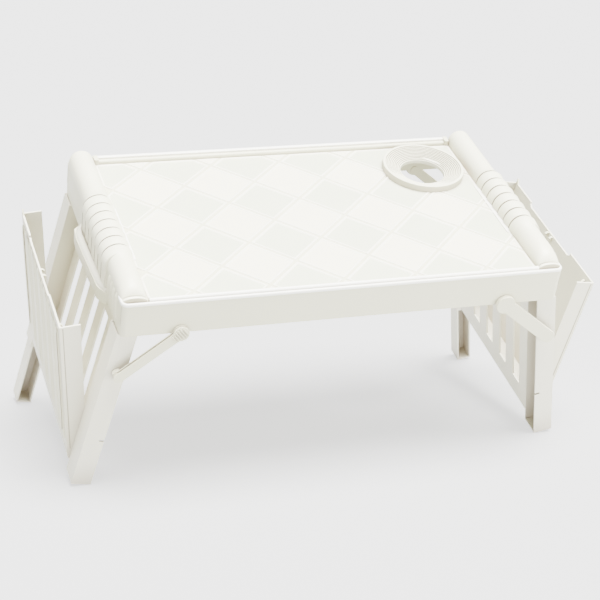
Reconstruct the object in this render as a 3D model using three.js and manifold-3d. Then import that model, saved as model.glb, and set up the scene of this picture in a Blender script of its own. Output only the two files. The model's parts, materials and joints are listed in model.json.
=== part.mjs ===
// Folding bed tray: a moulded deck with two end handles and a cup ring, on two
// folding leg frames that carry magazine racks, braces and pull-out back feet.
// Millimetres, +Z up. The tray is drawn level, with its rim top at z = 0, and the
// whole table is then tilted onto its feet, whose back pair is pulled out.
import * as THREE from 'three';
import { mergeVertices } from 'three/addons/utils/BufferGeometryUtils.js';
import Module from 'manifold-3d';

const wasm = await Module();
wasm.setup();

// ---- driving dimensions -------------------------------------------------------

const TRAY_WIDTH = 560;
const TRAY_DEPTH = 322;
const SKIRT_HEIGHT = 48;
const WALL = 2.3;
const CORNER_RADIUS = 7;
const RIM_WIDTH = 8;
const RIM_STEP_WIDTH = 4;     // the front rim's lower outer bead
const RIM_STEP_DROP = 3;
const DECK_DROP = 5;          // deck surface below the rim top
const DECK_THICKNESS = 2.8;
const RIB_HEIGHT = 6;         // stiffening ribs under the deck
const RIB_THICKNESS = 2;
const RIBS_ACROSS = [-108, -60, -12, 36];    // y of the ribs that run end to end
const RIBS_ALONG = [-150, -75, 0, 75];       // x of the ribs that run front to back
const RIB_REACH = 240;
const BACK_BEAD_RISE = 2;
const GAP = 0.3;              // between pieces that touch

const HANDLE_WIDTH = 32;
const HANDLE_RISE = 14.5;     // crown of the handle above the rim top
const HANDLE_WALL = 2.4;
const GRIP_COUNT = 7;
const GRIP_PITCH = 17.8;
const GRIP_RISE = 1.1;

const HAND_HOLE_FRONT = -84;
const HAND_HOLE_BACK = 60;
const LIP_TOP = 36;           // below the rim top
const LIP_BOTTOM = 53.8;
const LIP_BULGE = 13;         // at the back of the lip
const LIP_FRONT_BULGE = 9;
const LIP_WALL = 3;
const LIP_RAMP = 11;

const CUP_X = 186;
const CUP_Y = 88;
const CUP_RADIUS = 54.5;
const CUP_HOLE_RADIUS = 29.7;
const CUP_RISE = 4.4;         // ring top above the rim top
const CUP_STEPS = 10;
const CUP_THROAT_RADIUS = 47;

const SPLAY = THREE.MathUtils.degToRad(11.2);
const HINGE_X = 262;
const HINGE_DROP = 30;
const FRAME_INNER = -8.5;     // leg frame section, measured outward from the hinge
const FRAME_OUTER = 16.5;
const FRAME_TOP = 21.8;       // down the leg from the hinge to the skirt's lower edge
const LEG_LENGTH = 227;       // below the skirt
const RAIL_LENGTH = 209;
const WEB_FACE = 155.4;       // half width over the leg webs
const WEB = 2.2;
const POST_INSIDE = 125;      // half width between the posts
const POST_PLATE = 2;
const EAR_RADIUS = 13;
const SLOT_COUNT = 5;
const SLOT_PITCH = 46;
const SLOT_WIDTH = 22;
const SLOT_TOP = 44;          // below the skirt
const SLOT_BOTTOM = 181;
const LADDER = 2.4;
const NOTCH_AT = 159;
const NOTCH_DEPTH = 6.5;
const NOTCH_HEIGHT = 3;
const TEETH_AT = [196, 200, 204];    // detent teeth in a front post
const TOOTH_HEIGHT = 1.4;
const STRAPS_AT = [150, 215];        // straps that keep a back foot in its post
const STRAP_HEIGHT = 8;
const STRAP_THICKNESS = 1.4;

const PIN_RADIUS = 3;
const PIN_PLAY = 0.35;
const HINGE_LUG_RADIUS = 9;
const HINGE_LUG_HALF = 6;     // half length of the lug along its pin

const RACK_PIN_RADIUS = 2.5;
const RACK_PIN_AT = 207;      // below the skirt, along the leg
const RACK_PIN_X = 11.5;
const RACK_LENGTH = 199;      // pin to top edge
const RACK_FACE = 8;          // pin to the panel's outer face
const RACK_FOLD = 5;          // round lower edge
const RACK_DEPTH = 25.1;
const RACK_WALL = 2.2;
const RACK_OPEN_LEFT = THREE.MathUtils.degToRad(16.3);
const RACK_OPEN_RIGHT = THREE.MathUtils.degToRad(19.2);
const RACK_CUTOUT_HALF = 64;
const RACK_CUTOUT_SHIFT = 8;
const RACK_CUTOUT_DEPTH = 6;

const FOOT_OUT = 97;          // how far the back feet are pulled out
const FOOT_KEPT = 60;         // length of a foot that stays in its post
const FOOT_WALL = 2;
const FOOT_INNER = -6.7;
const FOOT_OUTER = 13.9;

const BRACE_X = 208;
const BRACE_DROP = 47;
const BRACE_HEAD_RADIUS = 12;
const BRACE_END_RADIUS = 7.5;
const BRACE_THICKNESS = 5.6;
const BRACE_TURN = 1.32;      // brace turn for each turn of the leg
const STUB_X = 2.5;           // brace stub on the leg web, from the hinge
const STUB_DOWN = 76;
const STUB_RADIUS = 3;
const STUB_TIP = 158.3;
const JAW_RADIUS = 7.6;
const LUG_RADIUS = 9;
const PIN_FLANGE_RADIUS = 5;

// ---- colours ------------------------------------------------------------------

const IVORY = 0xf1f1e8;
const IVORY_SHADE = 0xe9e9df;
const STEEL = 0xb9bcc0;

function plastic(color = IVORY, roughness = 0.42) {
  return new THREE.MeshStandardMaterial({ color, roughness, metalness: 0 });
}

function steel() {
  return new THREE.MeshStandardMaterial({ color: STEEL, roughness: 0.35, metalness: 1 });
}

// ---- small helpers --------------------------------------------------------------

function solid(geometry) {
  const bare = geometry.clone();
  bare.deleteAttribute('normal');
  bare.deleteAttribute('uv');
  const merged = mergeVertices(bare, 1e-4);
  const vertProperties = new Float32Array(merged.attributes.position.array);
  const triVerts = new Uint32Array(merged.index.array);
  return new wasm.Manifold(new wasm.Mesh({ numProp: 3, vertProperties, triVerts }));
}

function geometryOf(manifold) {
  const mesh = manifold.getMesh();
  const geometry = new THREE.BufferGeometry();
  geometry.setAttribute('position', new THREE.BufferAttribute(mesh.vertProperties, 3));
  geometry.setIndex(new THREE.BufferAttribute(mesh.triVerts, 1));
  return geometry;
}

function join(...pieces) {
  return pieces.reduce((sum, piece) => sum.add(piece));
}

function cut(from, ...pieces) {
  return pieces.reduce((left, piece) => left.subtract(piece), from);
}

function box(x0, x1, y0, y1, z0, z1) {
  const geometry = new THREE.BoxGeometry(x1 - x0, y1 - y0, z1 - z0);
  geometry.translate((x0 + x1) / 2, (y0 + y1) / 2, (z0 + z1) / 2);
  return solid(geometry);
}

// A cylinder along Y from y0 to y1, round (x, z).
function rod(x, z, radius, y0, y1, sides = 20) {
  const geometry = new THREE.CylinderGeometry(radius, radius, y1 - y0, sides);
  geometry.translate(x, (y0 + y1) / 2, z);
  return solid(geometry);
}

function extrude(shape, depth, segments = 5) {
  return new THREE.ExtrudeGeometry(shape, { depth, bevelEnabled: false, curveSegments: segments });
}

// A plan outline (x, y) raised from z0 to z1.
function slab(shape, z0, z1, segments = 5) {
  const geometry = extrude(shape, z1 - z0, segments);
  geometry.translate(0, 0, z0);
  return solid(geometry);
}

// A front outline (x, z) that runs along Y from y0 to y1.
function panel(shape, y0, y1, segments = 6) {
  const geometry = extrude(shape, y1 - y0, segments);
  geometry.rotateX(Math.PI / 2);
  geometry.translate(0, y1, 0);
  return solid(geometry);
}

function roundedRectangle(width, depth, radius) {
  const x = width / 2;
  const y = depth / 2;
  const shape = new THREE.Shape();
  shape.moveTo(-x + radius, -y);
  shape.lineTo(x - radius, -y);
  shape.absarc(x - radius, -y + radius, radius, -Math.PI / 2, 0, false);
  shape.lineTo(x, y - radius);
  shape.absarc(x - radius, y - radius, radius, 0, Math.PI / 2, false);
  shape.lineTo(-x + radius, y);
  shape.absarc(-x + radius, y - radius, radius, Math.PI / 2, Math.PI, false);
  shape.lineTo(-x, -y + radius);
  shape.absarc(-x + radius, -y + radius, radius, Math.PI, Math.PI * 1.5, false);
  return shape;
}

function outline(points) {
  return new THREE.Shape(points.map(([x, y]) => new THREE.Vector2(x, y)));
}

// The solid seen in a mirror across x = 0, y = 0, or both.
function mirrored(manifold, flipX, flipY) {
  const geometry = geometryOf(manifold).clone();
  geometry.applyMatrix4(new THREE.Matrix4().makeScale(flipX ? -1 : 1, flipY ? -1 : 1, 1));
  if (flipX !== flipY) {
    const corners = geometry.index.array;
    for (let i = 0; i < corners.length; i += 3) {
      [corners[i], corners[i + 1]] = [corners[i + 1], corners[i]];
    }
  }
  return geometry;
}

function part(name, geometry, material) {
  const mesh = new THREE.Mesh(geometry, material);
  mesh.name = name;
  return mesh;
}

// Turns a solid by an angle about an axis through the origin, then moves it.
function placed(manifold, turnY, x, y, z) {
  const geometry = geometryOf(manifold).clone();
  geometry.rotateY(turnY);
  geometry.translate(x, y, z);
  return solid(geometry);
}

// ---- tray -----------------------------------------------------------------------

const HALF_X = TRAY_WIDTH / 2;
const HALF_Y = TRAY_DEPTH / 2;
const SKIRT_INSIDE = HALF_Y - WALL;
const HANDLE_INNER = HALF_X - HANDLE_WIDTH;
const DECK_UNDER = -DECK_DROP - DECK_THICKNESS;

// A hanging block in the post's hollow that carries the leg's hinge pin.
function hingeLug(sideX, sideY) {
  const middle = (POST_INSIDE + POST_PLATE + WEB_FACE - WEB) / 2;
  const near = sideY * middle - HINGE_LUG_HALF;
  const far = near + 2 * HINGE_LUG_HALF;
  const block = box(HINGE_X - HINGE_LUG_RADIUS, HINGE_X + HINGE_LUG_RADIUS, near, far,
    -HINGE_DROP, DECK_UNDER + 0.5);
  const toe = rod(HINGE_X, -HINGE_DROP, HINGE_LUG_RADIUS, near, far);
  const bore = rod(HINGE_X, -HINGE_DROP, PIN_RADIUS + GAP, near - 1, far + 1);
  return solid(mirrored(cut(join(block, toe), bore), sideX < 0, false));
}

// The tab below the skirt's lower edge that carries the brace pin.
function braceLug(sideX, sideY) {
  const y0 = sideY > 0 ? SKIRT_INSIDE : -HALF_Y;
  const x = sideX * BRACE_X;
  const web = box(x - LUG_RADIUS, x + LUG_RADIUS, y0, y0 + WALL, -BRACE_DROP, -SKIRT_HEIGHT + 3);
  return join(web, rod(x, -BRACE_DROP, LUG_RADIUS, y0, y0 + WALL));
}

// The bowed bar that closes the hand hole's lower side. It stands out less at the front.
function handLip(sideX) {
  const far = HALF_X + LIP_BULGE;
  const low = HALF_X + LIP_FRONT_BULGE;
  const front = HAND_HOLE_FRONT - 4;
  const back = HAND_HOLE_BACK + 4;
  const bar = outline([
    [HALF_X - WALL, front], [HALF_X, front], [low - 2, front + LIP_RAMP],
    [low, front + LIP_RAMP + 6], [far, back - 3 * LIP_RAMP], [far - 2, back - LIP_RAMP],
    [HALF_X, back], [HALF_X - WALL, back], [HALF_X - WALL, back - LIP_WALL],
    [far - LIP_WALL - 1, back - LIP_RAMP - LIP_WALL], [far - LIP_WALL, back - 3 * LIP_RAMP],
    [low - LIP_WALL, front + LIP_RAMP + 8], [low - LIP_WALL - 1, front + LIP_RAMP + LIP_WALL],
    [HALF_X - WALL, front + LIP_WALL],
  ]);
  const lip = slab(bar, -LIP_BOTTOM, -LIP_TOP - 1);
  return solid(mirrored(lip, sideX < 0, false));
}

// The cup ring's way through the deck.
function cupWay() {
  const throat = new THREE.CylinderGeometry(CUP_THROAT_RADIUS + GAP, CUP_THROAT_RADIUS + GAP, 40, 40);
  throat.rotateX(Math.PI / 2);
  throat.translate(CUP_X, CUP_Y, -DECK_DROP);
  return solid(throat);
}

// Crossing ribs that stiffen the deck from below; one cell is wide enough for the cup ring.
function undersideGrid() {
  const reachY = SKIRT_INSIDE - 2;
  const half = RIB_THICKNESS / 2;
  const high = DECK_UNDER - GAP;
  const low = high - RIB_HEIGHT;
  const xs = [-RIB_REACH, ...RIBS_ALONG, RIB_REACH];
  const ys = [-reachY, ...RIBS_ACROSS, reachY];
  let grid = box(-RIB_REACH - half, RIB_REACH + half, -reachY - half, reachY + half, low, high);
  for (let i = 1; i < xs.length; i += 1) {
    for (let j = 1; j < ys.length; j += 1) {
      grid = cut(grid, box(xs[i - 1] + half, xs[i] - half, ys[j - 1] + half, ys[j] - half, low - 1, high + 1));
    }
  }
  return grid;
}

function trayShell() {
  const skirt = slab(roundedRectangle(TRAY_WIDTH, TRAY_DEPTH, CORNER_RADIUS), -SKIRT_HEIGHT, 0);
  const hollow = slab(
    roundedRectangle(TRAY_WIDTH - 2 * WALL, TRAY_DEPTH - 2 * WALL, CORNER_RADIUS - WALL),
    -SKIRT_HEIGHT - 1, DECK_UNDER,
  );
  const basin = box(-HALF_X - 1, HALF_X + 1, -HALF_Y + RIM_WIDTH, HALF_Y - RIM_WIDTH, -DECK_DROP, 1);
  let shell = cut(skirt, hollow, basin);
  for (const side of [-1, 1]) {
    // the handle stands on a lowered end, so the rims stop at its inner edge
    const seatNear = side > 0 ? HANDLE_INNER : -HALF_X - 1;
    const seatFar = side > 0 ? HALF_X + 1 : -HANDLE_INNER;
    shell = cut(shell, box(seatNear, seatFar, -HALF_Y - 1, HALF_Y + 1, -DECK_DROP, 1));
    const wallNear = side > 0 ? HALF_X - WALL - 1 : -HALF_X - 1;
    const hole = box(wallNear, wallNear + WALL + 2, HAND_HOLE_FRONT, HAND_HOLE_BACK,
      -SKIRT_HEIGHT - 1, -LIP_TOP);
    shell = cut(shell, hole);
    shell = join(shell, handLip(side));
  }
  const backBead = box(-HANDLE_INNER, HANDLE_INNER, HALF_Y - 6, HALF_Y - 1, -1, BACK_BEAD_RISE);
  const frontStep = box(-HANDLE_INNER, HANDLE_INNER, -HALF_Y - 1, -HALF_Y + RIM_STEP_WIDTH,
    -RIM_STEP_DROP, 1);
  shell = cut(join(shell, backBead), cupWay(), frontStep);
  for (const sideX of [-1, 1]) {
    for (const sideY of [-1, 1]) {
      shell = join(shell, hingeLug(sideX, sideY), braceLug(sideX, sideY));
      const pinHole = rod(sideX * BRACE_X, -BRACE_DROP, PIN_RADIUS,
        sideY > 0 ? SKIRT_INSIDE - 1 : -HALF_Y - 1, sideY > 0 ? HALF_Y + 1 : -SKIRT_INSIDE + 1);
      shell = cut(shell, pinHole);
    }
  }
  return shell;
}

// A half-round shell along the tray's end, with stepped finger grips at mid-length.
function handleSection(grow, inset) {
  const half = HANDLE_WIDTH / 2 - inset;
  const rise = HANDLE_RISE + DECK_DROP - inset;
  const points = [];
  const steps = 14;
  for (let i = 0; i <= steps; i += 1) {
    const angle = Math.PI * (1 - i / steps);
    points.push([(half + grow) * Math.cos(angle), (rise + grow) * Math.sin(angle) ** 0.85]);
  }
  return outline(points);
}

function handle() {
  const centre = HALF_X - HANDLE_WIDTH / 2;
  const base = -DECK_DROP + GAP;
  const end = HALF_Y - 2.5;
  let shell = panel(handleSection(0, 0), -end, end);
  for (let i = 0; i < GRIP_COUNT; i += 1) {
    const y = (i - (GRIP_COUNT - 1) / 2) * GRIP_PITCH;
    shell = join(shell, panel(handleSection(GRIP_RISE, 0), y - GRIP_PITCH * 0.36, y + GRIP_PITCH * 0.36));
  }
  const room = box(-HANDLE_WIDTH, HANDLE_WIDTH, -HALF_Y, HALF_Y, -40, 0);
  shell = cut(shell, room, panel(handleSection(0, HANDLE_WALL), -end + HANDLE_WALL, end - HANDLE_WALL));
  return placed(shell, 0, centre, 0, base);
}

// A ring with a stepped funnel that drops through the deck.
function cupRing() {
  const top = CUP_RISE;
  const flange = -DECK_DROP + GAP;
  const bottom = DECK_UNDER - 3;
  const mouth = CUP_RADIUS - 3.5;
  const profile = [[CUP_HOLE_RADIUS, bottom], [CUP_HOLE_RADIUS, -DECK_DROP - 0.6]];
  const run = (mouth - CUP_HOLE_RADIUS) / CUP_STEPS;
  const rise = (top + DECK_DROP + 0.6) / CUP_STEPS;
  for (let i = 1; i <= CUP_STEPS; i += 1) {
    profile.push([CUP_HOLE_RADIUS + run * i, -DECK_DROP - 0.6 + rise * (i - 1)]);
    profile.push([CUP_HOLE_RADIUS + run * i, -DECK_DROP - 0.6 + rise * i]);
  }
  profile.push([CUP_RADIUS - 1, top], [CUP_RADIUS, top - 1], [CUP_RADIUS, flange]);
  profile.push([CUP_THROAT_RADIUS, flange], [CUP_THROAT_RADIUS, bottom + 3], [CUP_THROAT_RADIUS - 6, bottom]);
  profile.push([CUP_HOLE_RADIUS, bottom]);
  profile.reverse();
  const geometry = new THREE.LatheGeometry(profile.map(([r, z]) => new THREE.Vector2(r, z)), 40);
  geometry.rotateX(Math.PI / 2);
  geometry.translate(CUP_X, CUP_Y, 0);
  return solid(geometry);
}

// ---- leg frame, in its own frame: x outward, z up the leg, origin at the hinge -------

const SKIRT_Z = -FRAME_TOP;
const SOLE_Z = SKIRT_Z - LEG_LENGTH;
const RACK_PIN_Z = SKIRT_Z - RACK_PIN_AT;

function along(z) {
  return SKIRT_Z - z;
}

// The post: a web, an outer plate and an inner side plate, open toward the tray's middle.
function post(sideY, withFloor) {
  const outer = FRAME_OUTER;
  const web = panel(outline([[FRAME_INNER, SOLE_Z], [outer, SOLE_Z], [outer, 0], [FRAME_INNER, 0]]),
    WEB_FACE - WEB, WEB_FACE);
  const webEar = rod(0, 0, EAR_RADIUS, WEB_FACE - WEB, WEB_FACE, 24);
  const side = box(FRAME_INNER, outer, POST_INSIDE, POST_INSIDE + POST_PLATE, SOLE_Z, 0);
  const sideEar = rod(0, 0, EAR_RADIUS, POST_INSIDE, POST_INSIDE + POST_PLATE, 24);
  const plate = box(outer - WEB, outer, POST_INSIDE, WEB_FACE, SOLE_Z, along(0.6));
  let body = join(web, webEar, side, sideEar, plate);
  const strapFace = FRAME_INNER + STRAP_THICKNESS;
  if (withFloor) {
    body = join(body, box(FRAME_INNER, outer, POST_INSIDE, WEB_FACE, SOLE_Z, SOLE_Z + WEB));
    for (const at of TEETH_AT) {
      body = join(body, box(10, outer, POST_INSIDE, WEB_FACE, along(at), along(at) + TOOTH_HEIGHT));
    }
  } else {
    for (const at of STRAPS_AT) {
      body = join(body, box(FRAME_INNER, strapFace, POST_INSIDE, WEB_FACE, along(at), along(at) + STRAP_HEIGHT));
    }
  }
  const notch = box(FRAME_INNER - 1, FRAME_INNER + NOTCH_DEPTH, WEB_FACE - WEB - 1, WEB_FACE + 1,
    along(NOTCH_AT), along(NOTCH_AT) + NOTCH_HEIGHT);
  const hingeHole = rod(0, 0, PIN_RADIUS + PIN_PLAY, POST_INSIDE - 1, WEB_FACE + 1);
  const rackHole = rod(RACK_PIN_X, RACK_PIN_Z, RACK_PIN_RADIUS + PIN_PLAY, POST_INSIDE - 1,
    POST_INSIDE + POST_PLATE + 1);
  const stub = rod(STUB_X, -STUB_DOWN, STUB_RADIUS, WEB_FACE - 1, STUB_TIP, 16);
  body = cut(join(body, stub), notch, hingeHole, rackHole);
  return solid(mirrored(body, false, sideY < 0));
}

// The ladder between the posts: flat bars between an upper and a lower rail.
function ladder() {
  const face = FRAME_INNER;
  const half = POST_INSIDE - GAP;
  let grid = box(face, face + LADDER, -half, half, along(RAIL_LENGTH), -16);
  for (let i = 0; i < SLOT_COUNT; i += 1) {
    const y = (i - (SLOT_COUNT - 1) / 2) * SLOT_PITCH;
    grid = cut(grid, box(face - 1, face + LADDER + 1, y - SLOT_WIDTH / 2, y + SLOT_WIDTH / 2,
      along(SLOT_BOTTOM), along(SLOT_TOP)));
  }
  return grid;
}

// Everything of the leg that would meet the tray's end wall, in the level tray's place.
function wallRoom() {
  const room = new THREE.BoxGeometry(40, 400, 70);
  room.translate(HALF_X - WALL - 0.5 + 20, 0, -SKIRT_HEIGHT - 0.4 + 35);
  room.translate(-HINGE_X, 0, HINGE_DROP);
  room.rotateY(SPLAY);
  return solid(room);
}

// ---- extension foot, in the leg's frame ----------------------------------------------

function extensionFoot() {
  const near = POST_INSIDE + POST_PLATE + 0.4;
  const far = WEB_FACE - WEB - 0.4;
  const low = SOLE_Z - FOOT_OUT;
  const high = SOLE_Z + FOOT_KEPT;
  const block = box(FOOT_INNER, FOOT_OUTER, near, far, low, high);
  const trough = box(FOOT_INNER + FOOT_WALL, FOOT_OUTER - FOOT_WALL, near - 1, far - FOOT_WALL,
    low + FOOT_WALL, high + 1);
  return cut(block, trough);
}

// ---- magazine rack, in its own frame: closed against the leg, origin at its pin --------

function rack() {
  const half = POST_INSIDE - 0.6;
  const outer = RACK_FACE;
  const inner = outer - RACK_DEPTH;
  const round = outer - RACK_FOLD;
  const profile = new THREE.Shape();
  profile.moveTo(inner, -2.5);
  profile.lineTo(round, -RACK_FOLD);
  profile.absarc(round, 0, RACK_FOLD, -Math.PI / 2, 0, false);
  profile.lineTo(outer, RACK_LENGTH);
  profile.lineTo(inner, RACK_LENGTH);
  const block = panel(profile, -half, half);
  const pocket = box(inner - 1, outer - RACK_WALL, -half + RACK_WALL, half - RACK_WALL, 4.5,
    RACK_LENGTH + 1);
  const cutout = outline([
    [-RACK_CUTOUT_HALF, 0], [-RACK_CUTOUT_HALF, -3], [-RACK_CUTOUT_HALF + 5, -RACK_CUTOUT_DEPTH],
    [RACK_CUTOUT_HALF - 5, -RACK_CUTOUT_DEPTH], [RACK_CUTOUT_HALF, -3], [RACK_CUTOUT_HALF, 1],
    [-RACK_CUTOUT_HALF, 1],
  ]);
  const bite = extrude(cutout, 10);
  bite.rotateX(Math.PI / 2);
  bite.rotateZ(Math.PI / 2);
  bite.translate(outer - 8, RACK_CUTOUT_SHIFT, RACK_LENGTH);
  const pinHole = rod(0, 0, RACK_PIN_RADIUS + GAP, -half - 1, half + 1, 16);
  const keep = box(inner - 1, outer + 1, -half + 8, half - 8, -10, 10);
  return cut(block, pocket, solid(bite), cut(pinHole, keep));
}

// ---- brace, in its own frame: x toward its narrow end, origin at its pin ----------------

const STUB_AT = new THREE.Vector2(
  HINGE_X + STUB_X * Math.cos(SPLAY) + STUB_DOWN * Math.sin(SPLAY),
  -HINGE_DROP + STUB_X * Math.sin(SPLAY) - STUB_DOWN * Math.cos(SPLAY),
);
const BRACE_PIN = new THREE.Vector2(BRACE_X, -BRACE_DROP);
const BRACE_LENGTH = STUB_AT.distanceTo(BRACE_PIN);
const BRACE_SLOPE = Math.atan2(BRACE_PIN.y - STUB_AT.y, STUB_AT.x - BRACE_PIN.x);

// Where the leg's stub stands in the brace's frame once the leg has folded by an angle.
function stubInBrace(fold) {
  const hinge = new THREE.Vector2(HINGE_X, -HINGE_DROP);
  const stub = STUB_AT.clone().rotateAround(hinge, -fold).sub(BRACE_PIN);
  return stub.rotateAround(new THREE.Vector2(), BRACE_SLOPE + BRACE_TURN * fold);
}

function brace() {
  const near = HALF_Y + GAP;
  const far = near + BRACE_THICKNESS;
  const strap = new THREE.Shape();
  strap.absarc(0, 0, BRACE_HEAD_RADIUS, Math.PI * 0.22, Math.PI * 1.78, false);
  strap.lineTo(16, -BRACE_END_RADIUS);
  strap.lineTo(BRACE_LENGTH, -BRACE_END_RADIUS);
  strap.absarc(BRACE_LENGTH, 0, BRACE_END_RADIUS, -Math.PI / 2, Math.PI / 2, false);
  strap.lineTo(16, BRACE_END_RADIUS);
  const plate = panel(strap, near, far, 12);
  const trough = box(17, BRACE_LENGTH - 8, near + 1.4, far - 1.6, -4, BRACE_HEAD_RADIUS);
  const pinHole = rod(0, 0, PIN_RADIUS, near - 1, near + 4);
  let jaw = rod(BRACE_LENGTH, 0, JAW_RADIUS, WEB_FACE + 0.5, near + 0.5, 20);
  const foldStep = THREE.MathUtils.degToRad(1);
  for (let i = 0; i < 12; i += 1) {
    const at = stubInBrace(i * foldStep);
    jaw = cut(jaw, rod(at.x, at.y, STUB_RADIUS + PIN_PLAY, WEB_FACE, STUB_TIP + 0.5, 16));
  }
  return cut(join(plate, jaw), trough, pinHole);
}

// ---- pins --------------------------------------------------------------------------------

function hingePin() {
  return rod(0, 0, PIN_RADIUS, POST_INSIDE + 0.2, WEB_FACE - 0.2);
}

function rackPin() {
  return rod(0, 0, RACK_PIN_RADIUS, POST_INSIDE - 4.2, POST_INSIDE + POST_PLATE, 16);
}

function bracePin() {
  const flange = rod(0, 0, PIN_FLANGE_RADIUS, SKIRT_INSIDE - GAP - 1.2, SKIRT_INSIDE - GAP);
  return join(flange, rod(0, 0, PIN_RADIUS - GAP, SKIRT_INSIDE - GAP - 0.5, HALF_Y + GAP + 3.6));
}

// ---- assembly ------------------------------------------------------------------------------

const table = new THREE.Group();

const FRONT_SOLE = new THREE.Vector2(-WEB_FACE,
  -HINGE_DROP + FRAME_INNER * Math.sin(SPLAY) + SOLE_Z * Math.cos(SPLAY));
const BACK_SOLE = new THREE.Vector2(POST_INSIDE + POST_PLATE + 0.4,
  -HINGE_DROP + FOOT_INNER * Math.sin(SPLAY) + (SOLE_Z - FOOT_OUT) * Math.cos(SPLAY));
const TILT = Math.atan2(FRONT_SOLE.y - BACK_SOLE.y, BACK_SOLE.x - FRONT_SOLE.x);
const MIDDLE_X = 4.98;        // centres the standing table, whose right rack hangs further open
const MIDDLE_Y = 53.83;
table.rotation.x = TILT;
table.position.set(-MIDDLE_X, -MIDDLE_Y,
  -(FRONT_SOLE.x * Math.sin(TILT) + FRONT_SOLE.y * Math.cos(TILT)));

table.add(part('tray_shell', geometryOf(trayShell()), plastic()));
table.add(part('underside_grid', geometryOf(undersideGrid()), plastic(IVORY_SHADE)));
table.add(part('cup_ring', geometryOf(cupRing()), plastic(IVORY, 0.38)));

for (const [side, sideX] of [['left', -1], ['right', 1]]) {
  const flip = sideX < 0;
  table.add(part(`handle_${side}`, mirrored(handle(), flip, false), plastic(IVORY, 0.38)));

  const leg = new THREE.Group();
  leg.position.set(sideX * HINGE_X, 0, -HINGE_DROP);
  leg.rotation.y = -sideX * SPLAY;
  table.add(leg);
  const frontPost = cut(post(-1, true), wallRoom());
  const backPost = cut(post(1, false), wallRoom());
  leg.add(part(`leg_post_front_${side}`, mirrored(frontPost, flip, false), plastic()));
  leg.add(part(`leg_post_back_${side}`, mirrored(backPost, flip, false), plastic()));
  leg.add(part(`leg_ladder_${side}`, mirrored(cut(ladder(), wallRoom()), flip, false), plastic()));
  leg.add(part(`extension_foot_${side}`, mirrored(extensionFoot(), flip, false), plastic(IVORY_SHADE)));

  const rackGroup = new THREE.Group();
  rackGroup.position.set(sideX * RACK_PIN_X, 0, RACK_PIN_Z);
  leg.add(rackGroup);
  const rackMesh = part(`magazine_rack_${side}`, mirrored(rack(), flip, false), plastic());
  rackMesh.rotation.y = sideX * (flip ? RACK_OPEN_LEFT : RACK_OPEN_RIGHT);
  rackGroup.add(rackMesh);

  for (const [end, sideY] of [['front', -1], ['back', 1]]) {
    const flipY = sideY < 0;
    leg.add(part(`leg_pin_${end}_${side}`, mirrored(hingePin(), flip, flipY), steel()));
    rackGroup.add(part(`rack_pin_${end}_${side}`, mirrored(rackPin(), flip, flipY), steel()));
    const pivot = new THREE.Group();
    pivot.position.set(sideX * BRACE_X, 0, -BRACE_DROP);
    table.add(pivot);
    pivot.add(part(`brace_pin_${end}_${side}`, mirrored(bracePin(), flip, flipY), steel()));
    const braceMesh = part(`brace_${end}_${side}`, mirrored(brace(), flip, flipY), plastic(IVORY, 0.45));
    braceMesh.rotation.y = sideX * BRACE_SLOPE;
    pivot.add(braceMesh);
  }
}

export default table;
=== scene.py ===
# The looks of the folding bed tray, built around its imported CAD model.
# Lengths in the tray's and the legs' own frames are in millimetres; the world is in metres.
import json
import math

import bmesh
import bpy
from mathutils import Matrix, Vector


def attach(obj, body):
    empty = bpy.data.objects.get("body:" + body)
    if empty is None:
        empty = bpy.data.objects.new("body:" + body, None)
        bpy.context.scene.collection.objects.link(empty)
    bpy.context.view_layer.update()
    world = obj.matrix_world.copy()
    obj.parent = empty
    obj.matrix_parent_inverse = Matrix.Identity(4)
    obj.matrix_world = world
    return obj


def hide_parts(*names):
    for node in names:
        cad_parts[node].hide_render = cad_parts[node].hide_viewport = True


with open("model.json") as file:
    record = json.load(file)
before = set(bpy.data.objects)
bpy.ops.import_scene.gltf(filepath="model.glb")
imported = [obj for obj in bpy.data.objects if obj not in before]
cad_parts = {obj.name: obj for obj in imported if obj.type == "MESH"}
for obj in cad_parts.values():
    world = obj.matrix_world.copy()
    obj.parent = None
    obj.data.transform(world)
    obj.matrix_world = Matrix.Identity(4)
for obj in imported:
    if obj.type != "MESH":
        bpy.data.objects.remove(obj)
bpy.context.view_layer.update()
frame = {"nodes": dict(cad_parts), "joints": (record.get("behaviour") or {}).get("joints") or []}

# ---- driving dimensions, as in the CAD model ------------------------------------

MM = 0.001
SPLAY = math.radians(11.2)
HINGE_X, HINGE_DROP = 262, 30
HALF_X, HALF_Y = 280, 161
DECK = -5                         # deck surface below the rim top
HANDLE_HALF, HANDLE_CROWN = 16, 19.5
HANDLE_X = HALF_X - HANDLE_HALF
SEAT = DECK + 0.3                 # where the handles and the cup ring stand
SUNK = 0.3                        # how deep an added shape's foot is set into the CAD's face
CUP_X, CUP_Y = 186, 88
CUP_RADIUS, CUP_HOLE = 54.5, 29.7
CUP_TOP = 4.4
RACK_PIN = (11.5, -228.8)         # in the leg's frame
RACK_LENGTH, RACK_FACE, RACK_HALF = 199, 8, 124.4
BRACE_X, BRACE_DROP = 208, 47
BRACE_LENGTH, BRACE_SLOPE = 91.26, math.radians(38.71)
BRACE_NEAR = HALF_Y + 0.3

SIDES = {"left": -1, "right": 1}
ENDS = {"front": -1, "back": 1}

# ---- places taken from the frame ------------------------------------------------

JOINTS = {joint["name"]: joint for joint in frame["joints"]}


def tray_place():
    """The tray's own level frame, in millimetres, as it stands in the world."""
    fold = JOINTS["leg_fold_right"]
    tilt = Matrix.Rotation(math.atan2(fold["axis"][2], fold["axis"][1]), 4, "X")
    hinge = tilt @ (Vector((HINGE_X, 0, -HINGE_DROP)) * MM)
    return Matrix.Translation(Vector(fold["pos_m"]) - hinge) @ tilt @ Matrix.Scale(MM, 4)


TRAY = tray_place()


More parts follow.
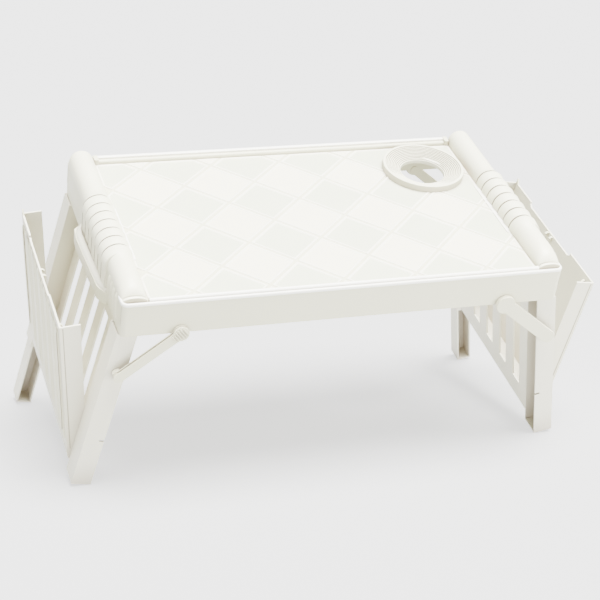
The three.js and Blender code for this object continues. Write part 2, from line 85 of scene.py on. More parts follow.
def leg_place(side):
    """A leg's frame: x outward is side * x, z up the leg, origin at the fold hinge."""
    to_hinge = Matrix.Translation((side * HINGE_X, 0, -HINGE_DROP))
    return TRAY @ to_hinge @ Matrix.Rotation(-side * SPLAY, 4, "Y")


def rack_place(word, side):
    """A rack's frame: z from the pin to the top edge, x outward is side * x."""
    opened = max(abs(angle) for angle in JOINTS[f"rack_swing_{word}"]["range_deg"])
    to_pin = Matrix.Translation((side * RACK_PIN[0], 0, RACK_PIN[1]))
    return leg_place(side) @ to_pin @ Matrix.Rotation(side * math.radians(opened), 4, "Y")


def brace_place(side):
    """A brace's frame: side * x runs from its pin to its narrow end."""
    to_pin = Matrix.Translation((side * BRACE_X, 0, -BRACE_DROP))
    return TRAY @ to_pin @ Matrix.Rotation(side * BRACE_SLOPE, 4, "Y")


# ---- materials --------------------------------------------------------------------


def noise(nodes, links, place, scale, detail):
    node = nodes.new("ShaderNodeTexNoise")
    node.inputs["Scale"].default_value = scale
    node.inputs["Detail"].default_value = detail
    links.new(place.outputs["Object"], node.inputs["Vector"])
    return node


def remap(nodes, links, source, old, new):
    """Maps a value from the old range to the new one, both given as (low, high)."""
    node = nodes.new("ShaderNodeMapRange")
    node.inputs["From Min"].default_value, node.inputs["From Max"].default_value = old
    node.inputs["To Min"].default_value, node.inputs["To Max"].default_value = new
    links.new(source, node.inputs["Value"])
    return node.outputs["Result"]


MIX_SHARE, MIX_FIRST, MIX_SECOND, MIX_COLOUR = 0, 6, 7, 2     # colour sockets of a Mix node


def blend(nodes, links, share, second):
    """A colour mix whose share is a socket and whose second colour is fixed."""
    node = nodes.new("ShaderNodeMix")
    node.data_type = "RGBA"
    node.inputs[MIX_SECOND].default_value = (*second, 1)
    links.new(share, node.inputs[MIX_SHARE])
    return node


CREASE_SHADE = (0.38, 0.32, 0.245)      # painted shade: the yellowed tone that darkens the plastic's corners
FLOW_SCALE, RUB_SCALE, GRAIN_SCALE = 9.0, 38.0, 900.0
GRAIN_HEIGHT = 0.0004


def plastic(name, colour, shade, roughness=0.38, grain=0.06, scale=1.0, reach=0.022):
    """Moulded plastic: flow marks, painted shade in a yellowed tone within reach of its corners, rubbed
    gloss, grain.
    """
    material = bpy.data.materials.new(name)
    material.use_nodes = True
    nodes = material.node_tree.nodes
    links = material.node_tree.links
    shader = nodes["Principled BSDF"]
    shader.inputs["IOR"].default_value = 1.49
    place = nodes.new("ShaderNodeTexCoord")
    flow = noise(nodes, links, place, FLOW_SCALE * scale, 3.0)
    tint = blend(nodes, links, flow.outputs["Fac"], shade)
    tint.inputs[MIX_FIRST].default_value = (*colour, 1)
    # Ambient occlusion pulls the colour towards the yellowed tone in corners and creases: painted shade.
    hollow = nodes.new("ShaderNodeAmbientOcclusion")
    hollow.samples = 8
    hollow.inputs["Distance"].default_value = reach
    painted_shade_share = remap(nodes, links, hollow.outputs["AO"], (0.15, 0.8), (0.8, 0.0))
    crease_shade_mix = blend(nodes, links, painted_shade_share, CREASE_SHADE)
    links.new(tint.outputs[MIX_COLOUR], crease_shade_mix.inputs[MIX_FIRST])
    links.new(crease_shade_mix.outputs[MIX_COLOUR], shader.inputs["Base Color"])
    rub = noise(nodes, links, place, RUB_SCALE * scale, 5.0)
    gloss = remap(nodes, links, rub.outputs["Fac"], (0.3, 0.7), (roughness - 0.06, roughness + 0.1))
    links.new(gloss, shader.inputs["Roughness"])
    fine = noise(nodes, links, place, GRAIN_SCALE, 2.0)
    bump = nodes.new("ShaderNodeBump")
    bump.inputs["Strength"].default_value = grain
    bump.inputs["Distance"].default_value = GRAIN_HEIGHT
    links.new(fine.outputs["Fac"], bump.inputs["Height"])
    links.new(bump.outputs["Normal"], shader.inputs["Normal"])
    return material


def steel():
    material = plastic("pin_steel", (0.52, 0.53, 0.55), (0.46, 0.47, 0.49), 0.32, 0.2, 6.0)
    material.node_tree.nodes["Principled BSDF"].inputs["Metallic"].default_value = 1.0
    return material


# One ivory plastic in three tones: the moulding tone is set darker than the grip tone to match its
# shaded skirts, painted shade; the frames' tone lies between.
IVORY = plastic("ivory_moulded", (0.71, 0.70, 0.51), (0.685, 0.675, 0.48))
# The frames' painted corner shade reaches further, darkening their recesses and interiors.
FRAME_IVORY = plastic("ivory_frames", (0.75, 0.73, 0.59), (0.725, 0.705, 0.56), reach=0.05)
GRIP_IVORY = plastic("ivory_grip", (0.80, 0.79, 0.60), (0.775, 0.765, 0.57), 0.42, 0.12)
SHADE = plastic("shaded_step", (0.50, 0.475, 0.355), (0.47, 0.445, 0.325), 0.45)
# A dark tone painted into grooves, the grip's nose dish and the racks' edge lines: painted shade.
GROOVE_SHADE = plastic("groove_painted_shade", (0.36, 0.33, 0.22), (0.33, 0.30, 0.19), 0.5)
# A whiter tone on the rims and the grip strips: painted highlight.
RIDGE_HIGHLIGHT = plastic("ridge_painted_highlight", (0.95, 0.945, 0.86), (0.93, 0.925, 0.835), 0.34)
# Lighter than the deck's cells: painted highlight on the lattice ridges.
LATTICE = plastic("lattice_ridge_highlight", (0.91, 0.895, 0.75), (0.885, 0.87, 0.72), 0.34)
CREAM = plastic("panel_cream", (0.87, 0.835, 0.65), (0.845, 0.81, 0.62), 0.36)
PALE = plastic("panel_pale", (0.67, 0.695, 0.525), (0.645, 0.67, 0.495), 0.36)
STEEL = steel()

# ---- carried-over CAD nodes ---------------------------------------------------------


def refine(node, material):
    """Gives a CAD node its material and soft moulded edges."""
    thing = frame["nodes"][node]
    thing.data.materials.clear()
    thing.data.materials.append(material)
    flat = thing.modifiers.new("flat", "DECIMATE")
    flat.decimate_type = "DISSOLVE"
    flat.angle_limit = math.radians(1)
    soften(thing, CAD_EDGE)


def soften(thing, width):
    """Rounds a thing's sharp edges by a width in millimetres."""
    edge = thing.modifiers.new("edge", "BEVEL")
    edge.width = width * MM
    edge.segments = 2
    edge.limit_method = "ANGLE"
    edge.angle_limit = math.radians(35)
    edge.harden_normals = True


CAD_EDGE = 0.5
FRAME_WORDS = ("leg_post", "leg_ladder", "magazine_rack", "extension_foot")


def node_material(name):
    if name.startswith(FRAME_WORDS):
        return FRAME_IVORY
    if name.startswith(("leg_pin", "rack_pin")):
        return STEEL
    return IVORY


for name in frame["nodes"]:
    refine(name, node_material(name))

# ---- shapes --------------------------------------------------------------------------


class Form:
    """Points and faces collected in one frame, each face with the number of its material."""

    def __init__(self):
        self.points = []
        self.faces = []
        self.paint = []

    def add(self, points, faces, paint=0):
        base = len(self.points)
        self.points += [Vector(point) for point in points]
        self.faces += [tuple(base + corner for corner in face) for face in faces]
        self.paint += [paint] * len(faces)

    def skin(self, rows, paint=0, lid=None, marked=()):
        """A closed skin over rings of points.

        The last ring's cap may have its own paint; the bands after the marked rings have paint 1.
        """
        count = len(rows[0])
        self.add([point for ring in rows for point in ring], [])
        base = len(self.points) - count * len(rows)
        for row in range(len(rows) - 1):
            for corner in range(count):
                here = base + row * count + corner
                after = base + row * count + (corner + 1) % count
                self.faces.append((here, after, after + count, here + count))
                self.paint.append(1 if row in marked else paint)
        self.faces.append(tuple(range(base, base + count))[::-1])
        self.paint.append(paint)
        last = len(self.points) - count
        self.faces.append(tuple(range(last, last + count)))
        self.paint.append(paint if lid is None else lid)

    def bar(self, section, x0, x1):
        """A section in (y, z) that runs along X."""
        self.skin([[(x, y, z) for y, z in section] for x in (x0, x1)])

    def plate(self, outline, y0, y1):
        """An outline in (x, z) that runs along Y."""
        self.skin([[(x, y, z) for x, z in outline] for y in (y0, y1)])

    def slab(self, outline, z0, z1):
        """An outline in (x, y) raised along Z."""
        self.skin([[(x, y, z) for x, y in outline] for z in (z0, z1)])

    def piece(self, name, place, body, materials, bevel=0.0, smooth=40):
        mesh = bpy.data.meshes.new(name)
        mesh.from_pydata([place @ point for point in self.points], [], self.faces)
        for material in materials:
            mesh.materials.append(material)
        mesh.polygons.foreach_set("material_index", self.paint)
        work = bmesh.new()
        work.from_mesh(mesh)
        bmesh.ops.remove_doubles(work, verts=work.verts, dist=1e-6)
        bmesh.ops.recalc_face_normals(work, faces=work.faces)
        work.to_mesh(mesh)
        work.free()
        mesh.shade_smooth()
        mesh.set_sharp_from_angle(angle=math.radians(smooth))
        thing = bpy.data.objects.new(name, mesh)
        bpy.context.collection.objects.link(thing)
        if bevel:
            soften(thing, bevel)
        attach(thing, body)
        return thing


def arc(x, y, radius, start, end, steps):
    """Points of an arc in degrees, both ends included."""
    turns = [math.radians(start + (end - start) * k / steps) for k in range(steps + 1)]
    return [(x + radius * math.cos(turn), y + radius * math.sin(turn)) for turn in turns]


def rounded(x0, x1, y0, y1, radius, steps=4):
    """A rectangle with round corners."""
    return (arc(x1 - radius, y1 - radius, radius, 0, 90, steps)
            + arc(x0 + radius, y1 - radius, radius, 90, 180, steps)
            + arc(x0 + radius, y0 + radius, radius, 180, 270, steps)
            + arc(x1 - radius, y0 + radius, radius, 270, 360, steps))


def flipped(points, side):
    return [(side * point[0], *point[1:]) for point in points]


# ---- handles -------------------------------------------------------------------------

GRIP_FIRST, GRIP_PITCH, GRIP_COUNT = 46, 18.2, 7
GRIP_CREST, GRIP_TAIL, GRIP_DEPTH = 1.8, 0.3, 2.6
GRIP_LOW = -34.5                  # the grip's lower edge, at the hand hole
FLANK_SKIN = 2.8                  # how far the grip's flank stands off the end wall
FLANK_CREST = 0.25                # the crests' height on the flank, as a share of that on top
HANDLE_FRONT, HANDLE_BACK = -156.5, 158.5
HANDLE_ROUND = 6                  # radius of the handle's round back end
HANDLE_NOSE = (                   # y, growth, height: down to a low bead, then the dished end
    (-100, 0, 1), (-118, 0, 1), (-128, 0, 0.98), (-136, -0.1, 0.92), (-142, -0.3, 0.82),
    (-146, -0.6, 0.70), (-148.8, -1.0, 0.56), (-150.2, -1.6, 0.43), (-150.4, -2.4, 0.36),
    (-151.0, -1.3, 0.42), (-153, -0.9, 0.43), (-154.8, -1.1, 0.4), (-155.9, -1.6, 0.34),
    (HANDLE_FRONT, -2.4, 0.28), (HANDLE_FRONT, -3.4, 0.24), (-152.4, -4.2, 0.2))
DISH_BANDS = 4                    # the nose's last bands, which line the dish


def grip_rows():
    """(y, growth, height, flank) along the grip: a groove, then a crest that tapers forward."""
    rows = [(GRIP_FIRST + 4, 0.0, 1, 0), (GRIP_FIRST + 3.4, 0.3, 1, 1)]
    for k in range(GRIP_COUNT):
        groove = GRIP_FIRST - k * GRIP_PITCH
        rows += [(groove + 2.3, GRIP_TAIL, 1, 1), (groove + 2.0, -GRIP_DEPTH, 1, 1),
                 (groove - 0.9, -GRIP_DEPTH, 1, 1), (groove - 1.2, GRIP_CREST * 0.7, 1, 1),
                 (groove - 2.6, GRIP_CREST, 1, 1)]
        for share in (0.4, 0.6, 0.8):
            growth = GRIP_CREST + share * (GRIP_TAIL - GRIP_CREST)
            rows.append((groove - share * GRIP_PITCH, growth, 1, 1))
    end = GRIP_FIRST - GRIP_COUNT * GRIP_PITCH
    return rows + [(end + 0.6, GRIP_TAIL, 1, 1), (end, 0.0, 1, 0)]


def dome(y, growth, height, flank=0, steps=30):
    """A ring over the handle; with flank it starts down the end wall, at the hand hole."""
    proud = 0.1 - FLANK_SKIN if growth < 0 else FLANK_CREST * growth
    out = FLANK_SKIN + proud if flank else -SUNK
    ring = [(HALF_X + out, y, GRIP_LOW + (SEAT - 0.2 - GRIP_LOW) * k / 8) for k in range(8)]
    for k in range(steps + 1):
        turn = math.pi * k / steps
        out = FLANK_SKIN * flank * max(0, math.cos(turn))
        ring.append((HANDLE_X + (HANDLE_HALF + growth) * math.cos(turn) + out, y,
                     SEAT + (HANDLE_CROWN * height + growth) * math.sin(turn) ** 0.85))
    return ring + [(HALF_X - 0.4, y, SEAT), (HALF_X - 0.4, y, GRIP_LOW)]


def handle(word, side):
    """A half-round bar, round at the back; its nose falls to a low bead and a dished end."""
    rows = []
    for k in range(7):
        turn = math.radians(90 - 15 * k)
        rows.append((HANDLE_BACK - HANDLE_ROUND * (1 - math.sin(turn)),
                     -HANDLE_ROUND * (1 - math.cos(turn)), 1))
    rows += [(100, 0, 1), (60, 0, 1)] + grip_rows()
    # The bands in the grooves and the nose's dish take the dark groove tone: painted shade.
    marked = [row for row in range(len(rows) - 1)
              if -GRIP_DEPTH in (rows[row][1], rows[row + 1][1])]
    rows += HANDLE_NOSE
    last = len(rows) - 1
    marked += range(last - DISH_BANDS, last)
    form = Form()
    form.skin([flipped(dome(*row), side) for row in rows], marked=marked)
    thing = form.piece(f"grip_handle_{word}", TRAY, "tray", [GRIP_IVORY, GROOVE_SHADE], 0.0, 32)
    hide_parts(f"handle_{word}")


def grip_strip(word, side):
    """A thin raised strip on the deck beside the grip."""
    form = Form()
    outline = rounded(242.6, 247.8, -70, 44, 2.2)
    form.slab(flipped(outline, side), DECK - 0.2, DECK + 1.3)
    form.piece(f"grip_strip_{word}", TRAY, "tray", [RIDGE_HIGHLIGHT], 0.4)


FLUTES = (-97, -109, -121, -133)
FLUTE_HALF, FLUTE_RISE = 4.8, 2.4


def end_flutes(word, side):
    """Upright flutes that swell from the end wall near the front and die out below."""
    form = Form()
    for k, y in enumerate(FLUTES):
        rings = []
        for z, share in ((-4.9, 0.15), (-8, 0.8), (-16, 1), (-30 - 2 * k, 0.8), (-46, 0.05)):
            ring = []
            for step in range(9):
                turn = math.pi * step / 8
                ring.append((HALF_X - SUNK + (SUNK + FLUTE_RISE * share) * math.sin(turn),
                             y - FLUTE_HALF * (0.5 + 0.5 * share) * math.cos(turn), z))
            rings.append(flipped(ring, side))
        form.skin(rings)
    form.piece(f"end_flutes_{word}", TRAY, "tray", [IVORY], 0.0, 60)


LIP_PATH = ((61, 280.6), (58, 283), (52, 289), (44, 292.2), (34, 293.2), (10, 292.9), (-20, 291.6),
            (-48, 290.3), (-66, 289.2), (-74, 287.4), (-80, 284), (-84, 280.6))    # y, x
LIP_LOW, LIP_MIDDLE, LIP_HIGH = -54, -45, -32.5
LIP_SWELL, LIP_ROUND = 8, 1.6     # how far its upper and its lower half curve inward


def hand_lip(word, side):
    """The bowed scoop below the hand hole, whose upper half curves in towards the grip."""
    rings = []
    for y, x in LIP_PATH:
        swell = LIP_SWELL * min(1, (x - HALF_X + 0.2) / 11)
        ring = []
        for k in range(13):
            turn = math.radians(-90 + 15 * k)
            edge, inward = (LIP_LOW, min(swell, LIP_ROUND)) if turn < 0 else (LIP_HIGH, swell)
            z = LIP_MIDDLE + (edge - LIP_MIDDLE) * abs(math.sin(turn))
            ring.append((x - inward + inward * math.cos(turn) ** 0.6, y, z))
        ring += [(x - swell - 0.8, y, LIP_HIGH - 1), (x - swell - 0.8, y, LIP_LOW + 1)]
        rings.append(flipped(ring, side))
    form = Form()
    form.skin(rings)
    # The frames' tone gives the lip painted shade where it nears the end wall.
    form.piece(f"hand_lip_{word}", TRAY, "tray", [FRAME_IVORY], 0.0, 50)


for word, side in SIDES.items():
    handle(word, side)
    grip_strip(word, side)
    end_flutes(word, side)
    hand_lip(word, side)

# ---- rims -----------------------------------------------------------------------------

RIM_END = 247.2                   # where the handles begin
EDGE_BEND, EDGE_HALF = 6.2, 1.9   # the outer front rim's corner radius and half width


def half_round(y, z, radius, foot):
    """A round-topped section in (y, z) with straight sides down to its foot."""
    return arc(y, z, radius, 0, 180, 10) + [(y - radius, foot), (y + radius, foot)]


def straight_rim(name, section, material):
    form = Form()
    form.bar(section, -RIM_END, RIM_END)
    form.piece(name, TRAY, "tray", [material], 0.0, 50)


def rim_front_outer():
    """The low bead along the tray's front edge, which turns both corners."""
    centre_x, centre_y = HALF_X - 1.4 - EDGE_BEND, -153.4
    corner = [(centre_x + EDGE_BEND * math.cos(turn), centre_y + EDGE_BEND * math.sin(turn), turn)
              for turn in (math.radians(-90 + 15 * k) for k in range(7))]
    route = corner + [(HALF_X - 1.4, -141, 0.0)]
    route = [(-x, y, math.pi - turn) for x, y, turn in reversed(route)] + route
    section = arc(0, -3.7, EDGE_HALF, 0, 180, 8) + [(-EDGE_HALF, -5.6), (EDGE_HALF, -5.6)]
    form = Form()
    form.skin([[(x + across * math.cos(turn), y + across * math.sin(turn), z)
                for across, z in section] for x, y, turn in route])
    form.piece("rim_front_outer", TRAY, "tray", [RIDGE_HIGHLIGHT], 0.0, 50)


def rim_back_blocks():
    """Small blocks that end the back rim beside the handles."""
    blocks = Form()
    for side in SIDES.values():
        near, far = sorted((side * 241.5, side * (RIM_END + 0.3)))
        blocks.slab(rounded(near, far, 147.6, 159.8, 1.5), DECK - 0.2, 3.4)
    blocks.piece("rim_back_blocks", TRAY, "tray", [IVORY], 0.6)


straight_rim("rim_front_inner", half_round(-155.5, -1.5, 2.4, -4.6), RIDGE_HIGHLIGHT)
rim_front_outer()
straight_rim("rim_back_inner", half_round(152.4, -2.4, 3.0, -5.4), IVORY)
straight_rim("rim_back_outer", rounded(154.8, 160.6, -3, 2.5, 1.5, 5), RIDGE_HIGHLIGHT)
rim_back_blocks()

# ---- the deck's lattice ------------------------------------------------------------------

CELL_X, CELL_Y = 93.6, 90.9
CELL_LEFT, CELL_TOP = -237.4, 131.2
FIELD = (-247.0, 247.0, -152.0, 148.6)      # x and y limits of the pattern
FIELD_LIMITS = (((-1, 0), -FIELD[0]), ((1, 0), FIELD[1]), ((0, -1), -FIELD[2]), ((0, 1), FIELD[3]))
RIDGE_GAP = 1.5                             # a ridge's distance from the line between two cells
RIDGE_STEPS = ((RIDGE_GAP, -0.3), (RIDGE_GAP, 0.0), (2.0, 0.8), (4.0, 0.8), (4.8, 0.12))  # inset, height


def clip(polygon, normal, reach):
    """The part of a convex polygon where normal . point <= reach."""
    kept = []
    for here, after in zip(polygon, polygon[1:] + polygon[:1]):
        over_here = here[0] * normal[0] + here[1] * normal[1] - reach
        over_after = after[0] * normal[0] + after[1] * normal[1] - reach
        if over_here <= 0:
            kept.append(here)
        if over_here * over_after < 0:
            share = over_here / (over_here - over_after)
            kept.append(tuple(a + share * (b - a) for a, b in zip(here, after)))
    return kept


def cell(x, y, inset):
    """A diamond cell pulled in by an inset and cut off at the field's edge."""
    wide = CELL_X + CELL_Y            # a start square that holds the whole cell
    polygon = [(x - wide, y - wide), (x + wide, y - wide), (x + wide, y + wide), (x - wide, y + wide)]
    length = math.hypot(CELL_X, CELL_Y)
    for across in (-1, 1):
        for up in (-1, 1):
            normal = (across * CELL_Y / length, up * CELL_X / length)
            reach = normal[0] * x + normal[1] * y + CELL_X * CELL_Y / 2 / length - inset
            polygon = clip(polygon, normal, reach)
    for normal, reach in FIELD_LIMITS:
        polygon = clip(polygon, normal, reach - inset + RIDGE_GAP) if polygon else polygon
    return polygon


def lattice():
    """Every cell with a ridge round it, but the one under the cup ring and slivers at the edges."""
    form = Form()
    for column in range(-2, 12):
        for row in range(-2, 9):
            if (column + row) % 2:
                continue
            x = CELL_LEFT + column * CELL_X / 2
            y = CELL_TOP - row * CELL_Y / 2
            under_ring = math.hypot(x - CUP_X, y - CUP_Y) < 5
            rings = [cell(x, y, inset) for inset, height in RIDGE_STEPS]
            sizes = {len(ring) for ring in rings}
            if under_ring or len(sizes) > 1 or min(sizes) < 3:
                continue
            rows = [[(px, py, DECK + height) for px, py in ring]
                    for ring, (inset, height) in zip(rings, RIDGE_STEPS)]
            cream = column % 2 == 1
            form.skin(rows, 0, 1 if cream else 2)
    form.piece("deck_lattice", TRAY, "tray", [LATTICE, CREAM, PALE], 0.0, 12)


lattice()

# ---- cup ring -----------------------------------------------------------------------------

CUP_STEPS = 10
CUP_LIP = 3.6                     # width of the flat rim
CUP_FLOOR, CUP_FOOT = DECK - 0.6, -10.6
CUP_TURNS = 96
STEP_FIRST, STEP_POINTS, GROOVE_POINTS = 3, 6, 3     # where the steps' points stand in the profile


def cup_profile():
    """(radius, z) round the ring's section: the hole, rounded steps with a fine groove, the rim."""
    run = (CUP_RADIUS - CUP_LIP - CUP_HOLE) / CUP_STEPS
    rise = (CUP_TOP - CUP_FLOOR) / CUP_STEPS
    profile = [(CUP_HOLE, CUP_FOOT), (CUP_HOLE, CUP_FLOOR - 0.4), (CUP_HOLE + 0.3, CUP_FLOOR)]
    for k in range(CUP_STEPS):
        r = CUP_HOLE + run * (k + 1)
        z = CUP_FLOOR + rise * k
        profile += [(r - 1.05, z), (r - 0.9, z - 0.6), (r - 0.2, z - 0.6), (r, z),
                    (r + 0.05, z + rise - 0.15), (r + 0.2, z + rise)]
    return profile + [(CUP_RADIUS - 0.9, CUP_TOP), (CUP_RADIUS - 0.25, CUP_TOP - 0.25),
                      (CUP_RADIUS, CUP_TOP - 0.9), (CUP_RADIUS, SEAT),
                      (47, SEAT), (47, -7.8), (41, CUP_FOOT)]


def cup_paint(profile, p):
    """The material number of the band after the profile's point p."""
    step_point = p - STEP_FIRST
    # The steps' fine grooves take the dark groove tone and the ring's outer wall the shade tone: painted
    # shade.
    if 0 <= step_point < STEP_POINTS * CUP_STEPS and step_point % STEP_POINTS < GROOVE_POINTS:
        return 2
    after = profile[(p + 1) % len(profile)]
    return 1 if profile[p][0] == CUP_RADIUS == after[0] else 0


def cup_ring():
    """The profile turned about the ring's axis."""
    profile = cup_profile()
    count = len(profile)
    form = Form()
    for k in range(CUP_TURNS):
        turn = math.tau * k / CUP_TURNS
        form.add([(CUP_X + r * math.cos(turn), CUP_Y + r * math.sin(turn), z) for r, z in profile], [])
    for k in range(CUP_TURNS):
        here, after = k * count, (k + 1) % CUP_TURNS * count
        for p in range(count):
            q = (p + 1) % count
            form.faces.append((here + p, here + q, after + q, after + p))
            form.paint.append(cup_paint(profile, p))
    thing = form.piece("stepped_cup_ring", TRAY, "tray", [GRIP_IVORY, SHADE, GROOVE_SHADE], 0.0, 35)
    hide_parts("cup_ring")


cup_ring()

# ---- braces --------------------------------------------------------------------------------


CHANNEL_DEPTH, CHANNEL_FACE, CHANNEL_BACK = 5.6, 1.7, 1.5      # whole, outer wall, inner wall
STRAP_DEPTH, HEAD_PROUD = 5.0, 0.9
PAD_RIBS, PAD_PITCH, PAD_RADIUS = 6, 3.3, 8.8
JAW_BACK = 155.9                  # the jaw's inner face, in the tray's y


def strap_outline(head, neck, half):
    """A round head that narrows into a strap with a round end."""
    outline = arc(0, 0, head, 46, 314, 24)
    outline += [(neck, -half)] + arc(BRACE_LENGTH, 0, half, -90, 90, 12) + [(neck, half)]
    return outline


def ribbed_brace(word, end, side, front):
    """A channel with a trough along its top and a ribbed thumb pad on its head."""
    back, face = front * BRACE_NEAR, front * (BRACE_NEAR + CHANNEL_DEPTH)
    form = Form()
    outline = flipped(strap_outline(9.8, 12.5, 6.4), side)
    form.plate(outline, face - front * CHANNEL_FACE, face)
    form.plate(outline, back, back + front * CHANNEL_BACK)
    trough = [(8, -6.2), (BRACE_LENGTH, -6.2), (BRACE_LENGTH, 3.6), (8, 3.6)]
    hub = arc(0, 0, 9.0, 0, 345, 22)
    toe = arc(BRACE_LENGTH, 0, 5.6, 0, 345, 22)
    for core in (trough, hub, toe):
        form.plate(flipped(core, side), back + front * (CHANNEL_BACK - 0.1),
                   face - front * (CHANNEL_FACE - 0.1))
    for k in range(PAD_RIBS):
        x = -6.3 + PAD_PITCH * k
        reach = math.sqrt(max(PAD_RADIUS ** 2 - x * x, 5.6 ** 2)) * 0.9
        rib = rounded(x - 0.6, x + 0.6, -reach, reach, 0.5, 3)
        form.plate(flipped(rib, side), face - front * 0.2, face + front * 1.5)
    jaw(form, side, front)
    finish_brace(form, "channel", word, end, side, 0.3)


def disc_brace(word, end, side, front):
    """A broad flat strap with a plain round head that stands a little proud."""
    back, face = front * BRACE_NEAR, front * (BRACE_NEAR + STRAP_DEPTH)
    form = Form()
    form.plate(flipped(strap_outline(11.5, 15, 8.8), side), back, face)
    head = arc(0, 0, 12.3, 0, 350, 35)
    form.plate(flipped(head, side), back, face + front * HEAD_PROUD)
    jaw(form, side, front)
    finish_brace(form, "disc", word, end, side, 0.5)


def jaw(form, side, front):
    """The block behind the narrow end that holds the leg's stub."""
    mouth = [(BRACE_LENGTH + 1.2, -3.6), (BRACE_LENGTH - 3.6, 0.4)]
    outline = arc(BRACE_LENGTH, 0, 7.2, 60, 320, 20) + mouth
    form.plate(flipped(outline, side), front * JAW_BACK, front * (BRACE_NEAR + 0.2))


def finish_brace(form, style, word, end, side, bevel):
    body = f"brace_{end}_{word}"
    thing = form.piece(f"{style}_brace_{end}_{word}", brace_place(side), body, [IVORY], bevel)
    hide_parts(body)


for word, side in SIDES.items():
    for end, front in ENDS.items():
        if side == front:
            ribbed_brace(word, end, side, front)
        else:
            disc_brace(word, end, side, front)

# ---- magazine racks -------------------------------------------------------------------------

RACK_GROOVES = 6
RACK_GROOVE_PITCH, RACK_GROOVE_HALF = 41, 3.0
RACK_GROOVE_FOOT = 34             # height of a groove's pointed end above the rack's pin
RACK_GROOVE_WAIST = RACK_GROOVE_FOOT + 22     # where it reaches its full width
RACK_GROOVE_TOP = RACK_LENGTH - 11
RACK_BANDS = ((0.0, -SUNK, 1.8), (8.5, 1.7, 2.9))     # inset, foot and top of each band's face
BAND_SHAPE = ((0.6, 0.1), (1.0, 0.8))                 # share of the rise, and its slope inward
RACK_EDGES = ((3.4, 0.0, 0.4, 0), (4.6, 3.4, 0.15, 1))   # from, to, height, material number
RACK_CLIPS = (-107, -5, 7)


def rack_flutes(word, side, place, body):
    """Raised bands on the outer panel, each with a narrower band on it, and long grooves between."""
    form = Form()
    top, low, full = RACK_GROOVE_TOP, RACK_GROOVE_FOOT, RACK_GROOVE_WAIST
    waist = RACK_GROOVE_HALF
    for k in range(RACK_GROOVES + 1):
        middle = (k - RACK_GROOVES / 2) * RACK_GROOVE_PITCH
        first = max(middle - RACK_GROOVE_PITCH / 2, 6 - RACK_HALF)
        last = min(middle + RACK_GROOVE_PITCH / 2, RACK_HALF - 6)
        for inset, foot, rise in RACK_BANDS:
            rings = []
            for out, slope in [(foot, 0.0)] + [(rise * share, slope) for share, slope in BAND_SHAPE]:
                near, far = first + inset + slope, last - inset - slope
                outline = [(near + waist, top - 5 * slope), (near + waist, full), (near, low),
                           (near, low - 9 + inset), (far, low - 9 + inset), (far, low),
                           (far - waist, full), (far - waist, top - 5 * slope)]
                rings.append([(side * (RACK_FACE + out), y, z) for y, z in outline])
            form.skin(rings)
    # Thin sheets in the shade tone line the grooves: painted shade.
    for k in range(RACK_GROOVES):
        middle = (k - (RACK_GROOVES - 1) / 2) * RACK_GROOVE_PITCH
        outline = [(middle - waist, top), (middle - waist, full), (middle, low),
                   (middle + waist, full), (middle + waist, top)]
        form.skin([[(side * (RACK_FACE + out), y, z) for y, z in outline] for out in (-SUNK, 0.25)], 1)
    form.piece(f"rack_flutes_{word}", place, body, [IVORY, SHADE], 0.0, 50)


def rack_edges(word, side, place, body):
    """A thin strip along each upright edge, with a thin dark strip in the groove tone beside it: a
    painted shade line.
    """
    edge = Form()
    for out in ENDS.values():
        for start, stop, proud, paint in RACK_EDGES:
            near, far = RACK_FACE - start, RACK_FACE - stop
            section = ((near, -SUNK), (near, proud), (far, proud), (far, -SUNK))
            edge.skin([[(side * x, out * (RACK_HALF + reach), z) for x, reach in section]
                       for z in (12, RACK_LENGTH - 2)], paint)
    edge.piece(f"rack_edges_{word}", place, body, [FRAME_IVORY, GROOVE_SHADE])


def rack_clips(word, side, place, body):
    """Small hooks on the inner face near the top edge."""
    inner, top = RACK_FACE - 2.2, RACK_LENGTH
    hook = [(inner + 0.3, top - 15), (inner + 0.3, top - 7), (inner - 2.2, top - 7),
            (inner - 4.6, top - 9.4), (inner - 4.6, top - 11), (inner - 2.4, top - 10.6)]
    clips = Form()
    for y in RACK_CLIPS:
        clips.plate(flipped(hook, side), y - 1.8, y + 1.8)
    clips.piece(f"rack_clips_{word}", place, body, [IVORY], 0.3)


def rack_peg(word, side, place, body):
    """A short upright tip at the back end of the top edge."""
    peg = Form()
    tip = [(RACK_HALF - 7.5, RACK_LENGTH - 1), (RACK_HALF - 0.4, RACK_LENGTH - 1),
           (RACK_HALF - 0.9, RACK_LENGTH + 6.4), (RACK_HALF - 2.2, RACK_LENGTH + 6.8)]
    peg.skin([[(side * x, y, z) for y, z in tip] for x in (RACK_FACE - 2.1, RACK_FACE - 0.1)])
    peg.piece(f"rack_peg_{word}", place, body, [IVORY], 0.3)


for word, side in SIDES.items():
    place, body = rack_place(word, side), f"rack_{word}"
    for part in (rack_flutes, rack_edges, rack_clips, rack_peg):
        part(word, side, place, body)

# ---- stage ----------------------------------------------------------------------------


FLOOR_HALF = 9                    # metres
FLOOR_GREY, FLOOR_GLOW = 0.24, 1.6
WORLD_GLOW = 0.2
SUN_SPREAD = 40                   # degrees


def aimed(name, data, direction):
    """A light's object, which shines along a direction."""
    thing = bpy.data.objects.new(name, data)
    thing.rotation_euler = Vector(direction).to_track_quat("-Z", "Y").to_euler()
    bpy.context.collection.objects.link(thing)
    return thing


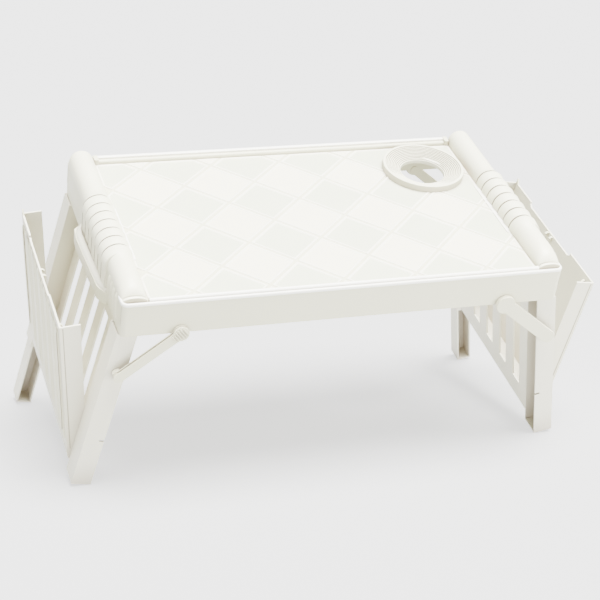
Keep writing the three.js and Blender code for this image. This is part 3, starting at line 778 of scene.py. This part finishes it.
def soft_sun(name, direction, strength):
    """A broad even light from one direction."""
    data = bpy.data.lights.new(name, "SUN")
    data.energy = strength
    data.angle = math.radians(SUN_SPREAD)
    aimed(name, data, direction)


def side_panel(place, target, size, power):
    """A square soft panel that brightens the side it stands on."""
    data = bpy.data.lights.new("side_panel", "AREA")
    data.energy = power
    data.size = size
    aimed("side_panel", data, Vector(target) - Vector(place)).location = place


def stage_floor():
    """A pale floor whose own glow keeps its shadows soft."""
    mesh = bpy.data.meshes.new("floor")
    half = FLOOR_HALF
    mesh.from_pydata([(-half, -half, 0), (half, -half, 0), (half, half, 0), (-half, half, 0)], [],
                     [(0, 1, 2, 3)])
    floor = bpy.data.objects.new("floor", mesh)
    bpy.context.collection.objects.link(floor)
    paint = bpy.data.materials.new("floor_paper")
    paint.use_nodes = True
    paper = paint.node_tree.nodes["Principled BSDF"]
    paper.inputs["Base Color"].default_value = (FLOOR_GREY, FLOOR_GREY, FLOOR_GREY, 1)
    paper.inputs["Roughness"].default_value = 0.9
    paper.inputs["Emission Color"].default_value = (1, 1, 1, 1)
    paper.inputs["Emission Strength"].default_value = FLOOR_GLOW
    mesh.materials.append(paint)


def studio_world():
    world = bpy.data.worlds.new("studio")
    bpy.context.scene.world = world
    world.use_nodes = True
    background = world.node_tree.nodes["Background"]
    background.inputs["Color"].default_value = (1, 1, 1, 1)
    background.inputs["Strength"].default_value = WORLD_GLOW


stage_floor()
studio_world()
soft_sun("overhead", (-0.12, 0.25, -1.0), 30.0)
side_panel((1.25, -1.25, 0.35), (0.25, -0.15, 0.08), 0.7, 38.0)
soft_sun("front_left", (0.82, 0.56, -0.1), 1.3)

camera_data = bpy.data.cameras.new("camera")
camera_data.lens = 100.48
camera_data.sensor_width = 36
camera_data.clip_end = 50
camera = bpy.data.objects.new("camera", camera_data)
camera.location = (-0.68999, -1.98624, 0.83964)
camera.rotation_euler = (1.265736, -0.018522, -0.328696)
bpy.context.collection.objects.link(camera)
bpy.context.scene.camera = camera
